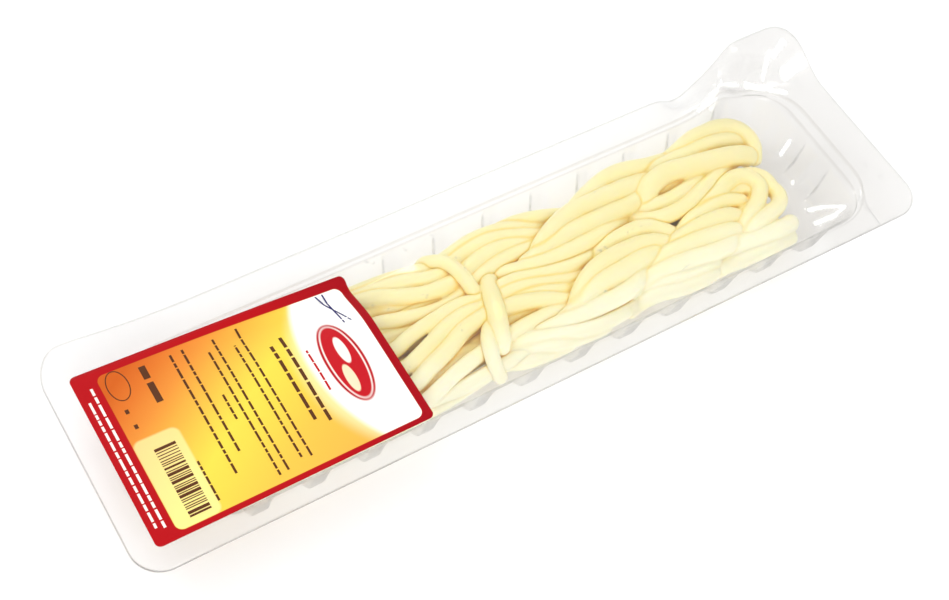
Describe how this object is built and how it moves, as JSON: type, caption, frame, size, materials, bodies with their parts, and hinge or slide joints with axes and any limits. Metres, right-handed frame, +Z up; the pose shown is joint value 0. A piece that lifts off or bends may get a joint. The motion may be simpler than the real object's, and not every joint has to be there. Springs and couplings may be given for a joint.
{
  "type": "braided string cheese",
  "caption": "Braided string cheese in a sealed clear tray: twisted pale yellow strands bound by a tie strand, under a film with a label",
  "frame": {"origin": "middle of the pack's outline on the plane that its base rests on", "axes": "+X along the pack from the label to the bare end, +Y towards the long side with the bent corner, +Z up out of the label"},
  "size_m": [0.3015, 0.0826, 0.0388],
  "materials": {
    "tray_plastic": "clear formed plastic",
    "film": "clear sealed film",
    "label_paper": "printed satin label, red border with an orange to yellow field",
    "cheese": "moist, slightly glossy pale yellow cheese"
  },
  "bodies": {
    "root": {"tray": "tray_plastic", "lid_film": "film", "label": "label_paper", "cheese_braid": "cheese"}
  },
  "joints": []
}
